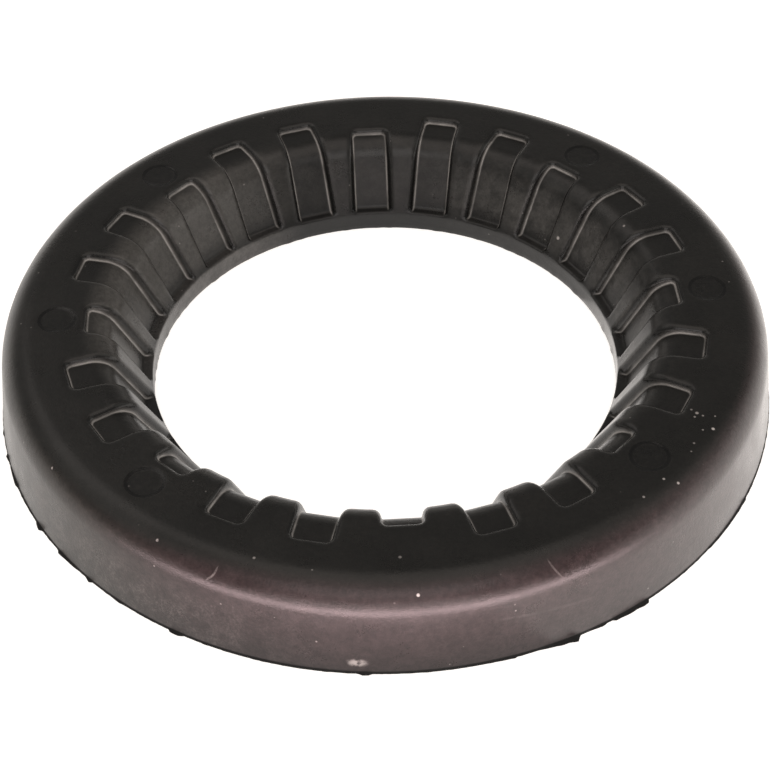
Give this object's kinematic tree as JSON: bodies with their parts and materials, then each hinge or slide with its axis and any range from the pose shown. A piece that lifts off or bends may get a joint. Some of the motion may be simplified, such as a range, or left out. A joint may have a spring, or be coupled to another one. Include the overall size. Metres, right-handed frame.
{
  "type": "coil spring pad",
  "caption": "Moulded rubber seat ring for a coil spring, with a rounded outer edge, shallow pockets down its inner wall and a plain lip round the opening.",
  "frame": {"origin": "centre of the opening in the plane of the base", "axes": "+Z along the ring's axis, from the spring side up to the rounded and pocketed side; +Y through the middle of a short pocket"},
  "size_m": [0.16, 0.16, 0.019],
  "materials": {
    "rubber": "satin moulded black rubber with a faint bloom"
  },
  "bodies": {
    "root": {"spring_pad": "rubber"}
  },
  "joints": []
}
